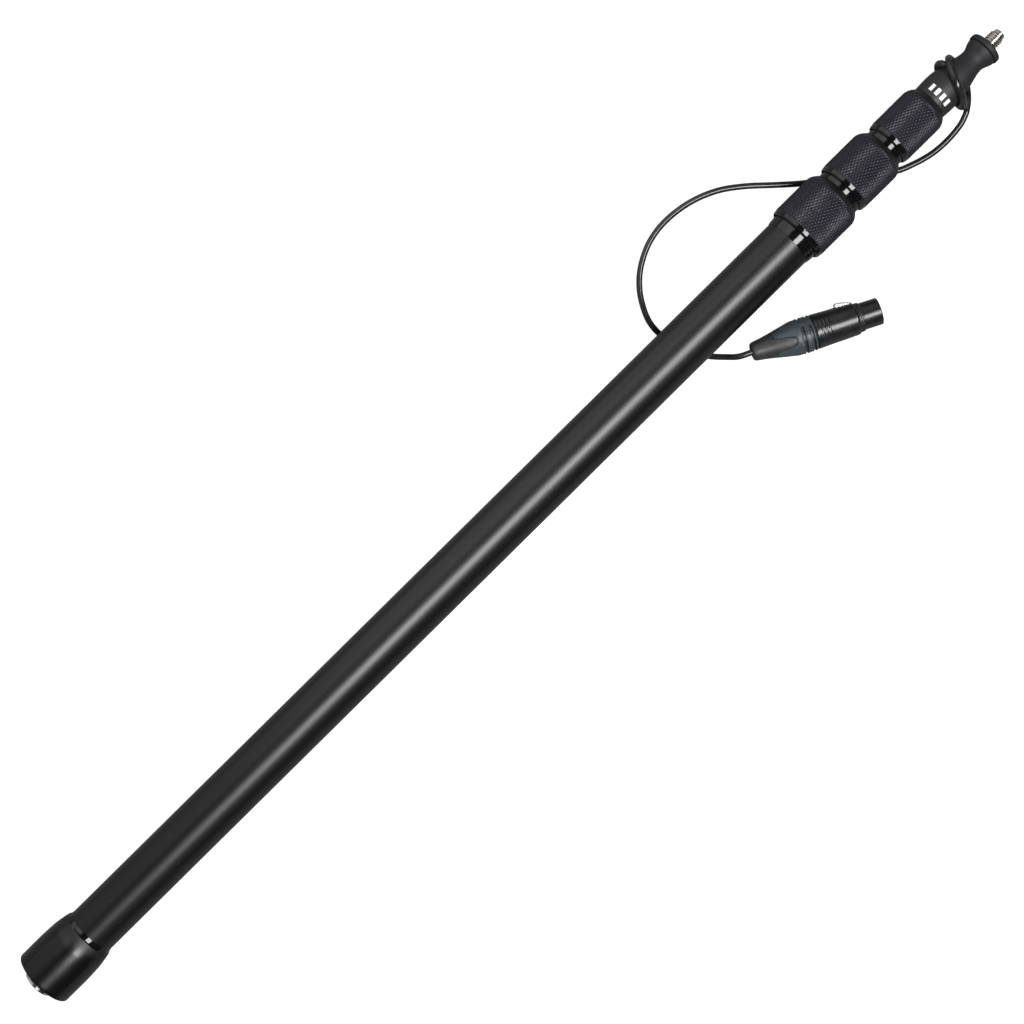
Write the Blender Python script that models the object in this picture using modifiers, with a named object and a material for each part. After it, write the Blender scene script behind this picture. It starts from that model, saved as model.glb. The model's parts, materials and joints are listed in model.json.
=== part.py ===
"""Telescopic boom pole with an internal coiled cable, lying along X with its stud at +X.

The pole has four nested tubes. A knurled collar at the end of each outer tube squeezes a split
collet onto the next tube. The butt carries a male three-pin connector. The tip carries a 3/8 inch
stud, and a cable that wraps round the neck and ends in a female three-pin connector.

Lengths along the pole are stations: millimetres from the butt's end face, growing towards the tip.
The world origin is the centre of the stud's end face, on the pole's axis.
"""

import math

import bmesh
import bpy
from mathutils import Matrix, Vector

MM = 0.001
PART_NAME = "boom_pole"

# Driving dimensions, in millimetres
POLE_LENGTH = 814.0
TUBE_RADII = (15.875, 14.2875, 12.7, 11.1125)
TUBE_WALL = 1.25
TUBE_STARTS = (22.0, 56.3, 66.8, 76.8)
BOND_GAP = 0.15
PART_GAP = 0.3

COLLAR_STARTS = (639.2, 678.3, 717.0)
COLLAR_ENDS = (674.9, 713.2, 752.9)
COLLAR_RADII = (19.3, 17.65, 15.3)
COLLAR_NOSE_DROPS = (3.8, 3.6, 3.3)
FERRULE_RADII = (16.8, 15.4, 13.2)
FERRULE_STARTS = (633.0, 675.2, 713.5)
FERRULE_LEADS = (3.5, 0.3, 0.2)
THREAD_STEP = 0.4
TUBE_SEAT = 12.0

CAP_RADIUS = 19.35
CAP_END_RADIUS = 17.3
CAP_LENGTH = 38.7
CONNECTOR_BORE = 9.6

SLEEVE_START = 753.2
TUBE_4_END = 768.0
HEAD_END = 798.3
WASHER_RADIUS = 10.8
WASHER_END = 802.4
STUD_RADIUS = 4.7625

CABLE_RADIUS = 1.9
COIL_RADIUS = 6.0
COIL_WIRE_RADIUS = 1.5
COIL_TURNS = 16

# The cable connector's axis, in world axes with stations along X
CABLE_CONNECTOR_REAR = (572.7, -31.96, -10.4)
CABLE_CONNECTOR_DIRECTION = (0.8935, -0.4490, 0.0)
CABLE_CONNECTOR_LENGTH = 81.9
LATCH_PIVOT = (66.1, 9.7)
LATCH_WIDTH = 5.6

SEGMENTS = 24
SMALL_SEGMENTS = 12


def clear_scene():
    """Removes every object of the open file."""
    for item in list(bpy.data.objects):
        bpy.data.objects.remove(item, do_unlink=True)


def new_collection(name):
    """A collection linked to the scene."""
    collection = bpy.data.collections.new(name)
    bpy.context.scene.collection.children.link(collection)
    return collection


clear_scene()
PARTS = new_collection(PART_NAME)
CUTTERS = new_collection(PART_NAME + "_cutters")


def material(name, colour, roughness, metallic):
    """A Principled material of one sub-part."""
    result = bpy.data.materials.new(name)
    result.use_nodes = True
    shader = result.node_tree.nodes["Principled BSDF"]
    shader.inputs["Base Color"].default_value = (*colour, 1.0)
    shader.inputs["Roughness"].default_value = roughness
    shader.inputs["Metallic"].default_value = metallic
    return result


FINISHES = {
    "satin_black": ((0.025, 0.025, 0.028), 0.38, 0.6),
    "polished_black": ((0.010, 0.010, 0.012), 0.12, 0.6),
    "knurled_black": ((0.020, 0.020, 0.026), 0.35, 0.7),
    "nickel": ((0.62, 0.62, 0.60), 0.25, 1.0),
    "stainless": ((0.55, 0.53, 0.50), 0.30, 1.0),
    "gold": ((0.80, 0.62, 0.25), 0.25, 1.0),
    "nylon": ((0.75, 0.75, 0.72), 0.50, 0.0),
    "black_plastic": ((0.02, 0.02, 0.02), 0.45, 0.0),
    "grey_plastic": ((0.05, 0.07, 0.085), 0.42, 0.0),
    "rubber": ((0.022, 0.022, 0.022), 0.60, 0.0),
    "cable_jacket": ((0.008, 0.008, 0.008), 0.15, 0.0),
    "connector_black": ((0.022, 0.022, 0.024), 0.25, 0.5),
    "screw_steel": ((0.10, 0.10, 0.10), 0.30, 1.0),
}


def adopt(item, name, finish, parent, collection=PARTS):
    """Names an object, gives it its own material, and hangs it from its frame."""
    item.name = name
    item.parent = parent
    collection.objects.link(item)
    if collection is CUTTERS:
        item.hide_render = True
        item.display_type = "WIRE"
    else:
        item.data.materials.append(material(name, *FINISHES[finish]))
    return item


def frame_empty(name, matrix):
    """An empty that carries a group of pieces."""
    empty = bpy.data.objects.new(name, None)
    PARTS.objects.link(empty)
    empty.matrix_world = matrix
    return empty


def connector_matrix():
    """Local Z runs along the cable connector, local X points to its latch."""
    along = Vector(CABLE_CONNECTOR_DIRECTION).normalized()
    up = Vector((0, 0, 1))
    latch_side = up.cross(along)
    rotation = Matrix((latch_side, up, along)).transposed().to_4x4()
    station, y, z = CABLE_CONNECTOR_REAR
    place = Vector(((station - POLE_LENGTH) * MM, y * MM, z * MM))
    return Matrix.Translation(place) @ rotation


# Local Z of the pole's frame is the station axis, and its local Y is world Y
POLE = frame_empty(
    "pole_frame",
    Matrix.Translation((-POLE_LENGTH * MM, 0, 0)) @ Matrix.Rotation(math.pi / 2, 4, "Y"),
)
CONNECTOR = frame_empty("connector_frame", connector_matrix())


# --------------------------------------------------------------------------- tools


def turned(name, outline, finish, parent=POLE, origin=0.0, segments=SEGMENTS, closed=True):
    """A turned piece. The outline is (station, radius) points that run down the outer side,
    from the tip's end to the butt's end. A closed outline makes a ring, an open one that starts
    and ends on the axis makes a solid. The object's origin is at the given station."""
    mesh = bpy.data.meshes.new(name)
    points = [(radius * MM, 0, (station - origin) * MM) for station, radius in outline]
    edges = [(i, i + 1) for i in range(len(points) - 1)]
    if closed:
        edges.append((len(points) - 1, 0))
    mesh.from_pydata(points, edges, [])
    item = adopt(bpy.data.objects.new(name, mesh), name, finish, parent)
    item.location = (0, 0, origin * MM)
    screw = item.modifiers.new("turn", "SCREW")
    screw.axis = "Z"
    screw.steps = segments
    screw.render_steps = segments
    screw.use_merge_vertices = True
    screw.merge_threshold = 0.00001
    screw.use_smooth_shade = True
    return item


def ring(name, outer, bore, finish, **options):
    """A hollow turned piece. Both outlines run from the butt towards the tip."""
    return turned(name, list(reversed(outer)) + list(bore), finish, **options)


def solid(name, outer, finish, **options):
    """A turned piece without a bore. The outline runs from the butt towards the tip."""
    first, last = outer[0][0], outer[-1][0]
    outline = [(last, 0.0)] + list(reversed(outer)) + [(first, 0.0)]
    return turned(name, outline, finish, closed=False, **options)


def cylinder_cutter(name, start, end, radius, parent=POLE, segments=SMALL_SEGMENTS):
    """A round cutter between two points of the parent's frame, in millimetres."""
    start, end = Vector(start), Vector(end)
    mesh = bpy.data.meshes.new(name)
    shape = bmesh.new()
    bmesh.ops.create_cone(
        shape,
        cap_ends=True,
        segments=segments,
        radius1=radius * MM,
        radius2=radius * MM,
        depth=(end - start).length * MM,
    )
    shape.to_mesh(mesh)
    shape.free()
    cutter = adopt(bpy.data.objects.new(name, mesh), name, None, parent, CUTTERS)
    cutter.location = (start + end) / 2 * MM
    cutter.rotation_mode = "QUATERNION"
    cutter.rotation_quaternion = (end - start).to_track_quat("Z", "Y")
    return cutter


def box_cutter(name, low, high, parent=POLE):
    """A box-shaped cutter between two corners of the parent's frame, in millimetres."""
    low, high = Vector(low), Vector(high)
    mesh = bpy.data.meshes.new(name)
    shape = bmesh.new()
    bmesh.ops.create_cube(shape, size=1.0)
    bmesh.ops.scale(shape, vec=(high - low) * MM, verts=shape.verts)
    shape.to_mesh(mesh)
    shape.free()
    cutter = adopt(bpy.data.objects.new(name, mesh), name, None, parent, CUTTERS)
    cutter.location = (low + high) / 2 * MM
    return cutter


def cut(item, cutter):
    """Takes the cutter's shape out of the piece."""
    boolean = item.modifiers.new(cutter.name, "BOOLEAN")
    boolean.operation = "DIFFERENCE"
    boolean.solver = "EXACT"
    boolean.object = cutter


def wire(name, points, radius, finish, sides=2):
    """A round wire through points in world axes, in millimetres with stations along X."""
    curve = bpy.data.curves.new(name, "CURVE")
    curve.dimensions = "3D"
    curve.bevel_depth = radius * MM
    curve.bevel_resolution = sides
    curve.use_fill_caps = True
    spline = curve.splines.new("POLY")
    spline.points.add(len(points) - 1)
    for point, (station, y, z) in zip(spline.points, points):
        point.co = ((station - POLE_LENGTH) * MM, y * MM, z * MM, 1.0)
    return adopt(bpy.data.objects.new(name, curve), name, finish, None)


def through(waypoints, spacing):
    """Points about one spacing apart on a smooth curve through the waypoints."""
    ways = [Vector(way) for way in waypoints]
    ways = [2 * ways[0] - ways[1]] + ways + [2 * ways[-1] - ways[-2]]
    points = []
    for before, start, end, after in zip(ways, ways[1:], ways[2:], ways[3:]):
        # centripetal tangents keep unevenly spaced waypoints from overshooting
        a, b, c = (
            max((q - p).length, 1e-6) ** 0.5
            for p, q in ((before, start), (start, end), (end, after))
        )
        leave = (start - before) / a - (end - before) / (a + b) + (end - start) / b
        arrive = (end - start) / b - (after - start) / (b + c) + (after - end) / c
        steps = max(1, round((end - start).length / spacing))
        for step in range(steps):
            t = step / steps
            points.append(
                start * (2 * t**3 - 3 * t**2 + 1)
                + leave * b * (t**3 - 2 * t**2 + t)
                + end * (3 * t**2 - 2 * t**3)
                + arrive * b * (t**3 - t**2)
            )
    points.append(ways[-2])
    return points


def round_the_pole(angle, station, radius):
    """A point beside the pole. The angle runs from +Z towards +Y, in degrees."""
    turn = math.radians(angle)
    return (station, radius * math.sin(turn), radius * math.cos(turn))


# --------------------------------------------------------------------------- tubes and plugs


def tube_ends():
    """Each tube ends inside its ferrule, and the last one inside the tip sleeve."""
    return [start + TUBE_SEAT for start in COLLAR_STARTS] + [TUBE_4_END]


def make_tubes():
    for number, (radius, start, end) in enumerate(
        zip(TUBE_RADII, TUBE_STARTS, tube_ends()), start=1
    ):
        inner = radius - TUBE_WALL
        ring(
            f"tube_{number}",
            [(start, radius), (end, radius)],
            [(start, inner), (end, inner)],
            "satin_black",
            origin=start,
        )


def make_end_plugs():
    """A nylon plug in the lower end of each inner tube guides it in the tube around it."""
    flange, spigot, lip = 3.7, 5.5, 1.35
    for number in (2, 3, 4):
        around = TUBE_RADII[number - 2] - TUBE_WALL
        inside = TUBE_RADII[number - 1] - TUBE_WALL
        shoulder = TUBE_STARTS[number - 1] - PART_GAP
        start, end = shoulder - flange, shoulder + spigot
        flange_radius, spigot_radius = around - BOND_GAP, inside - BOND_GAP
        bore = spigot_radius - lip
        ring(
            f"end_plug_{number}",
            [
                (start, flange_radius - 0.5),
                (start + 0.6, flange_radius),
                (shoulder, flange_radius),
                (shoulder, spigot_radius),
                (end, spigot_radius),
            ],
            [(start, bore), (end, bore)],
            "nylon",
            origin=start,
        )


# --------------------------------------------------------------------------- locks


def make_ferrule(index):
    """The threaded ferrule bonded on a tube's end. Its front edge is the polished ring."""
    start, visible = FERRULE_STARTS[index], FERRULE_RADII[index]
    collar = COLLAR_STARTS[index]
    thread = visible + THREAD_STEP
    bore = TUBE_RADII[index] + BOND_GAP
    next_bore = TUBE_RADII[index + 1] + PART_GAP
    seat = collar + TUBE_SEAT + PART_GAP
    end = collar + 17.0
    ring(
        f"ferrule_{index + 1}",
        [
            (start, bore + 0.25),
            (start + FERRULE_LEADS[index], visible),
            (collar + 0.6, visible),
            (collar + 1.0, thread),
            (end - 1.0, thread),
            (end, thread - 0.8),
        ],
        [(start, bore), (seat, bore), (seat, next_bore), (end, next_bore)],
        "polished_black",
        origin=start,
    )


def make_collet(index):
    """The split ring that the collar squeezes onto the next tube."""
    slit_width = 1.2
    collar = COLLAR_STARTS[index]
    start, end = collar + 17.4, collar + 28.0
    tube = TUBE_RADII[index + 1]
    name = f"collet_{index + 1}"
    collet = ring(
        name,
        [(start, tube + 2.2), (end, tube + 1.3)],
        [(start, tube + BOND_GAP), (end, tube + BOND_GAP)],
        "nylon",
        origin=start,
    )
    slit = box_cutter(
        name + "_slit",
        (0, -slit_width / 2, start - 2),
        (tube + 5, slit_width / 2, end + 2),
    )
    cut(collet, slit)


def make_collar(index):
    """The knurled collar: threaded bore, cone for the collet, and a rounded nose."""
    start, end = COLLAR_STARTS[index], COLLAR_ENDS[index]
    outer, drop = COLLAR_RADII[index], COLLAR_NOSE_DROPS[index]
    thread = FERRULE_RADII[index] + THREAD_STEP + PART_GAP
    tube = TUBE_RADII[index + 1]
    nose_length = 7.0
    nose = [
        (end - nose_length * (1 - share), outer - drop * share**2)
        for share in (0.0, 0.3, 0.55, 0.8, 1.0)
    ]
    rim = [(0.0, 1.2), (0.8, 0.6), (2.3, 0.3), (4.5, 0.0)]
    ring(
        f"collar_{index + 1}",
        [(start + step, outer - fall) for step, fall in rim] + nose,
        [
            (start, thread),
            (start + 17.3, thread),
            (start + 17.6, tube + 2.5),
            (start + 29.5, tube + 1.6),
            (start + 30.0, tube + 0.35),
            (end, tube + 0.35),
        ],
        "knurled_black",
        origin=start,
    )


# --------------------------------------------------------------------------- butt


def make_base_cap():
    """The flared butt cap: connector bore at its end, tube socket behind it."""
    socket = TUBE_RADII[0] + BOND_GAP
    floor = TUBE_STARTS[0] - PART_GAP
    corner = CAP_RADIUS - CAP_END_RADIUS
    corner_arc = [
        (
            corner * 1.6 * (1 - math.cos(math.radians(step))),
            CAP_END_RADIUS + corner * math.sin(math.radians(step)),
        )
        for step in (0, 30, 60, 90)
    ]
    cap = ring(
        "base_cap",
        corner_arc
        + [
            (17.8, CAP_RADIUS),
            (25.0, 19.1),
            (28.7, 18.75),
            (32.4, 18.35),
            (36.0, 17.75),
            (CAP_LENGTH, 17.2),
        ],
        [
            (0.0, CONNECTOR_BORE),
            (16.0, CONNECTOR_BORE),
            (16.0, 14.0),
            (floor, 14.0),
            (floor, socket),
            (CAP_LENGTH, socket),
        ],
        "satin_black",
    )
    screw_station, hole_radius, screw_radius = 8.0, 1.65, 1.35
    cut(
        cap,
        cylinder_cutter(
            "set_screw_hole",
            (CONNECTOR_BORE - 2, 0, screw_station),
            (CAP_RADIUS + 3, 0, screw_station),
            hole_radius,
        ),
    )
    screw = solid(
        "connector_set_screw",
        [(CONNECTOR_BORE + PART_GAP, screw_radius), (CAP_RADIUS - 0.6, screw_radius)],
        "screw_steel",
        segments=SMALL_SEGMENTS,
    )
    screw.rotation_euler = (0, math.pi / 2, 0)
    screw.location = (0, 0, screw_station * MM)


def make_base_ferrule():
    """The narrow polished ring that flares from the main tube to the cap."""
    start, end = CAP_LENGTH + PART_GAP, 41.9
    bore = TUBE_RADII[0] + BOND_GAP
    ring(
        "base_ferrule",
        [(start, 17.0), (start + 0.9, 16.5), (start + 1.9, 16.25), (end, 16.2)],
        [(start, bore), (end, bore)],
        "polished_black",
        origin=start,
    )


def pin_places(radius, angles=(20, 160, 270)):
    """The centres of three contacts on a circle, in a connector's own plane."""
    return [
        (radius * math.cos(math.radians(angle)), radius * math.sin(math.radians(angle)))
        for angle in angles
    ]


def make_base_connector():
    """The male three-pin connector in the butt cap."""
    barrel_radius, barrel_bore = 9.45, 8.2
    rim, back = -4.8, 15.0
    ring(
        "base_connector_barrel",
        [(rim, barrel_radius - 0.8), (rim + 1.4, barrel_radius), (back, barrel_radius)],
        [(rim, barrel_bore), (back, barrel_bore)],
        "nickel",
    )
    insert = solid(
        "base_connector_insert",
        [(3.0, barrel_bore - BOND_GAP), (back, barrel_bore - BOND_GAP)],
        "black_plastic",
    )
    pin_circle, pin_radius, pin_hole_radius = 4.75, 1.2, 1.42
    for number, (x, y) in enumerate(pin_places(pin_circle), start=1):
        hole = cylinder_cutter(
            f"base_pin_hole_{number}", (x, y, 0), (x, y, back + 5), pin_hole_radius
        )
        cut(insert, hole)
        pin = solid(
            f"base_pin_{number}",
            [(-2.6, 0.7), (-1.9, pin_radius), (18.0, pin_radius)],
            "gold",
            segments=SMALL_SEGMENTS,
        )
        pin.location = (x * MM, y * MM, 0)


# --------------------------------------------------------------------------- tip


def make_tip_sleeve():
    """The waisted sleeve bonded on the last tube."""
    start = SLEEVE_START
    bore = TUBE_RADII[3] + BOND_GAP
    seat = TUBE_4_END + PART_GAP
    ring(
        "tip_sleeve",
        [
            (start, 11.65),
            (start + 0.7, 11.9),
            (759.0, 12.15),
            (763.0, 12.25),
            (767.0, 12.05),
            (770.0, 11.65),
            (771.5, 11.2),
        ],
        [(start, bore), (seat, bore), (seat, 9.9), (771.5, 9.9)],
        "satin_black",
        origin=start,
    )


def cable_start():
    """Where the cable starts inside the head, and where it leaves the head's side."""
    return round_the_pole(38, 774.9, 7.6), round_the_pole(60, 774.4, 12.2)


def make_tip_head():
    """The hourglass neck: a spigot in the tube, a cable channel, and the stud's socket."""
    spigot_radius, spigot_start = 9.7, 756.0
    channel_radius, channel_end = 4.6, 783.0
    socket_radius, socket_floor = STUD_RADIUS + 0.19, 788.0
    body_start = 771.8
    head = turned(
        "tip_head",
        [
            (socket_floor, 0),
            (socket_floor, socket_radius),
            (HEAD_END, socket_radius),
            (HEAD_END, 10.3),
            (797.1, 9.95),
            (795.3, 9.45),
            (793.5, 8.7),
            (791.7, 8.0),
            (789.9, 7.7),
            (786.2, 8.1),
            (782.6, 8.95),
            (778.9, 9.95),
            (775.0, 10.6),
            (body_start, 10.9),
            (body_start, spigot_radius),
            (spigot_start, spigot_radius),
            (spigot_start, channel_radius),
            (channel_end, channel_radius),
            (channel_end, 0),
        ],
        "rubber",
        closed=False,
    )
    inner, outer = (Vector(point) for point in cable_start())
    overshoot = (outer - inner).normalized() * 4.5
    low, high = inner - overshoot, outer + overshoot
    # world axes (station, y, z) are (z, y, -x) of the pole's frame
    ends = [(-point.z, point.y, point.x) for point in (low, high)]
    cut(head, cylinder_cutter("cable_exit", *ends, CABLE_RADIUS + PART_GAP))


def make_tip_fittings():
    """The washer under the microphone mount, and the threaded stud."""
    start = HEAD_END + PART_GAP
    bore = STUD_RADIUS + 0.19
    ring(
        "tip_washer",
        [
            (start, 10.4),
            (start + 0.5, WASHER_RADIUS),
            (WASHER_END - 0.9, WASHER_RADIUS),
            (WASHER_END, 10.1),
        ],
        [(start, bore), (WASHER_END, bore)],
        "rubber",
        origin=start,
    )
    point_length, point_step, point_radius = 3.2, 1.7, 3.65
    solid(
        "tip_stud",
        [
            (788.3, STUD_RADIUS - 0.6),
            (788.9, STUD_RADIUS),
            (POLE_LENGTH - point_length, STUD_RADIUS),
            (POLE_LENGTH - point_step, point_radius + 0.25),
            (POLE_LENGTH, point_radius),
        ],
        "stainless",
        origin=POLE_LENGTH,
    )


# --------------------------------------------------------------------------- cables


def make_inner_cables():
    """The lead from the butt connector, and the coil inside the last tube."""
    wire(
        "base_lead",
        through([(18.6, 0, 0), (35, 1.5, 0), (52, -1.5, 1.0), (70, 0, 0)], 6.0),
        COIL_WIRE_RADIUS,
        "cable_jacket",
        sides=1,
    )
    start, end, points_per_turn = 84.0, 750.0, 9
    count = COIL_TURNS * points_per_turn
    coil = [
        round_the_pole(360 * i / points_per_turn, start + (end - start) * i / count, COIL_RADIUS)
        for i in range(count + 1)
    ]
    wire("coiled_cable", coil, COIL_WIRE_RADIUS, "cable_jacket", sides=1)


def make_tip_cable():
    """The cable that leaves the head, wraps it one and a half times, passes under the collars,
    loops back under the main tube and enters the cable connector."""
    wraps = [
        (90, 774.3, 13.1),
        (120, 774.0, 13.3),
        (150, 773.0, 13.6),
        (185, 771.2, 13.9),
        (225, 768.8, 14.7),
        (255, 767.2, 16.0),
        (280, 767.0, 15.6),
        (315, 768.2, 14.5),
        (345, 769.6, 14.0),
        (360, 770.8, 13.8),
        (380, 773.2, 13.6),
        (405, 776.8, 13.0),
        (430, 779.6, 11.95),
        (450, 781.2, 11.35),
        (480, 783.4, 10.9),
        (510, 785.0, 10.6),
        (540, 785.8, 10.7),
    ]
    beside_neck = [
        (785.2, -3.4, -10.9),
        (782.5, -6.4, -10.5),
        (779.5, -9.4, -8.9),
        (776.8, -12.1, -7.0),
        (772.3, -16.2, -5.4),
        (767.0, -19.8, -4.6),
    ]
    under_collars = [
        (761.0, -22.3, -6.0),
        (749.2, -23.9, -10.0),
        (737.0, -23.1, -14.0),
        (725.0, -19.6, -17.6),
        (716.0, -15.7, -19.2),
        (704.0, -7.2, -19.85),
        (692.0, 2.2, -19.85),
        (680.0, 11.5, -19.8),
    ]
    # the loop on the floor, from the collars round to where it goes under the main tube
    floor_loop = [
        (668.0, 20.8),
        (656.0, 31.4),
        (642.5, 43.6),
        (629.5, 52.9),
        (616.0, 58.8),
        (602.5, 61.8),
        (589.0, 62.3),
        (577.0, 60.1),
        (566.7, 55.6),
        (558.3, 49.9),
        (551.3, 42.6),
        (545.9, 34.0),
        (542.5, 25.5),
        (541.7, 16.0),
        (543.7, 6.0),
        (547.0, -3.8),
        (550.9, -11.5),
    ]
    rear = Vector(CABLE_CONNECTOR_REAR)
    along = Vector(CABLE_CONNECTOR_DIRECTION)
    before_boot = rear - along * 8 - Vector((0, 0, 1.6))
    rise = [(554.7, -16.8, -18.8), (560.1, -22.9, -16.0), tuple(before_boot)]
    inside = [tuple(rear + along * depth) for depth in (0, 10, 30)]
    neck = through(
        [*cable_start()] + [round_the_pole(*way) for way in wraps] + beside_neck,
        3.0,
    )
    loop_height = -19.5
    rest = through(
        beside_neck[-1:]
        + under_collars
        + [(station, y, loop_height) for station, y in floor_loop]
        + rise
        + inside,
        6.0,
    )
    wire("tip_cable", neck + rest[1:], CABLE_RADIUS, "cable_jacket")


# --------------------------------------------------------------------------- cable connector


def make_connector_grip():
    """The rubber boot, the ribbed nut in front of it, and the chuck inside them."""
    ring(
        "connector_boot",
        [
            (0.0, 4.7),
            (0.6, 5.4),
            (1.9, 5.85),
            (8.0, 6.8),
            (12.6, 7.7),
            (17.1, 8.7),
            (22.0, 9.75),
            (24.7, 10.3),
        ],
        [(0.0, 2.2), (10.0, 2.2), (12.5, 4.6), (24.7, 6.8)],
        "rubber",
        parent=CONNECTOR,
    )
    ring(
        "connector_nut",
        [(25.0, 10.35), (29.4, 10.95), (33.0, 11.0), (37.0, 11.0), (39.6, 10.9)],
        [(25.0, 7.3), (35.5, 7.3), (35.5, 8.9), (39.6, 8.9)],
        "grey_plastic",
        parent=CONNECTOR,
    )
    ring(
        "connector_chuck",
        [(13.0, 4.2), (26.0, 6.5), (34.0, 6.9), (40.0, 6.9)],
        [(13.0, CABLE_RADIUS + 0.2), (40.0, CABLE_RADIUS + 0.2)],
        "nylon",
        parent=CONNECTOR,
    )


def make_connector_shell():
    """The metal shell with the latch's window, and the keying ring at its step."""
    nose_radius, bore = 8.4, 7.3
    end = CABLE_CONNECTOR_LENGTH
    shell = ring(
        "connector_shell",
        [
            (36.0, 8.6),
            (39.9, 8.6),
            (39.9, 10.8),
            (44.0, 10.8),
            (48.5, 10.5),
            (56.0, 10.4),
            (66.0, 10.2),
            (67.3, 9.4),
            (67.3, nose_radius),
            (end - 0.8, nose_radius),
            (end, nose_radius - 0.4),
        ],
        [(36.0, bore), (end, bore)],
        "connector_black",
        parent=CONNECTOR,
    )
    half = LATCH_WIDTH / 2 + PART_GAP
    window = box_cutter("latch_window", (4.0, -half, 55.8), (15.0, half, 67.1), CONNECTOR)
    cut(shell, window)
    ring(
        "connector_ring",
        [(67.6, 8.8), (67.9, 9.0), (69.4, 9.0), (69.7, 8.8)],
        [(67.6, nose_radius + BOND_GAP), (69.7, nose_radius + BOND_GAP)],
        "black_plastic",
        parent=CONNECTOR,
    )


def make_connector_contacts():
    """The insert in the connector's nose, with its three socket contacts."""
    back, face, radius = 58.0, 80.5, 7.1
    contact_circle, contact_radius, contact_bore, hole_radius = 3.9, 1.6, 1.2, 1.85
    insert = solid(
        "connector_insert",
        [(back, radius), (face, radius)],
        "black_plastic",
        parent=CONNECTOR,
    )
    places = pin_places(contact_circle, angles=(70, 290, 180))
    for number, (x, y) in enumerate(places, start=1):
        hole = cylinder_cutter(
            f"contact_hole_{number}",
            (x, y, back - 5),
            (x, y, face + 5),
            hole_radius,
            CONNECTOR,
        )
        cut(insert, hole)
        start, end = back - 2, face - 0.5
        contact = ring(
            f"connector_contact_{number}",
            [(start, contact_radius), (end, contact_radius)],
            [(start, contact_bore), (end, contact_bore)],
            "gold",
            parent=CONNECTOR,
            segments=SMALL_SEGMENTS,
        )
        contact.location = (x * MM, y * MM, 0)


def make_latch():
    """The release lever, whose raised rear end is pressed. Its origin is its pivot."""
    outline = [
        (56.5, 9.0),
        (56.5, 12.2),
        (57.1, 12.6),
        (58.6, 12.55),
        (61.6, 12.0),
        (64.6, 11.2),
        (66.6, 10.3),
        (66.8, 9.0),
    ]
    curve = bpy.data.curves.new("connector_latch", "CURVE")
    curve.dimensions = "2D"
    curve.fill_mode = "BOTH"
    curve.extrude = LATCH_WIDTH / 2 * MM
    spline = curve.splines.new("POLY")
    spline.points.add(len(outline) - 1)
    spline.use_cyclic_u = True
    for point, (along, height) in zip(spline.points, outline):
        point.co = ((along - LATCH_PIVOT[0]) * MM, (height - LATCH_PIVOT[1]) * MM, 0, 1)
    latch = bpy.data.objects.new("connector_latch", curve)
    adopt(latch, "connector_latch", "nickel", CONNECTOR)
    # the outline's first axis lies along the connector, its second points outwards
    latch.rotation_euler = Matrix(((0, 1, 0), (0, 0, 1), (1, 0, 0))).to_euler()
    latch.location = (LATCH_PIVOT[1] * MM, 0, LATCH_PIVOT[0] * MM)


def main():
    make_base_cap()
    make_base_ferrule()
    make_base_connector()
    make_tubes()
    make_end_plugs()
    for index in range(3):
        make_ferrule(index)
        make_collet(index)
        make_collar(index)
    make_tip_sleeve()
    make_tip_head()
    make_tip_fittings()
    make_inner_cables()
    make_tip_cable()
    make_connector_grip()
    make_connector_shell()
    make_connector_contacts()
    make_latch()


main()
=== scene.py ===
"""Looks of the telescopic boom pole: fine meshes, finishes, floor, light and camera.

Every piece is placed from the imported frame. Lengths are in millimetres, and MM turns them into
metres. A place on a round piece is (along, radius, turn): how far along the piece's axis, how far
from the axis, and the angle round it, in radians, from the axis's first side.
"""

import json
import math
import random

import bmesh
import bpy
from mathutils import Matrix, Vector


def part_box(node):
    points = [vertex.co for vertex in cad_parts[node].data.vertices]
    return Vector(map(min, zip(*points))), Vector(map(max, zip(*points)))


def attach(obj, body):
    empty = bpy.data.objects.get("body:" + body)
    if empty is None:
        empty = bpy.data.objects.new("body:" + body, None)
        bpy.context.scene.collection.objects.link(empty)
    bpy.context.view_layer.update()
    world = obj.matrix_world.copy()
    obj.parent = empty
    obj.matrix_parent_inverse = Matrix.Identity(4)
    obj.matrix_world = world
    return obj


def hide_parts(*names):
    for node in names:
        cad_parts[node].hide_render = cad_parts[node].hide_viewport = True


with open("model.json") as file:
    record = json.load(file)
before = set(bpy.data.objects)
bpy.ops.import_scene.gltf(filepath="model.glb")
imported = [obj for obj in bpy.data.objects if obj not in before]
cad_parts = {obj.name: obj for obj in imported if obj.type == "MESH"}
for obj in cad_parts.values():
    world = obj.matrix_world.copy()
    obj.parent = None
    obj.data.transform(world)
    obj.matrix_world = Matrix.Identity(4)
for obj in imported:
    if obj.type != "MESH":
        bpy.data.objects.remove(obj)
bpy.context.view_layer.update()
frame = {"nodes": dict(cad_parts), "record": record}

MM = 0.001
RECORD = frame["record"]
BODIES = RECORD["behaviour"]["bodies"]
BODY_OF = {node: body for body, nodes in BODIES.items() for node in nodes}

# corners round a piece, and round a small one
ROUND = 128
SMALL_ROUND = 32
# edges bent by more than this are shaded crisp
SHARP_ANGLE = math.radians(32)
# the clearance between pieces that fit together
GAP = 0.15


# ---- axes and places


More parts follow.
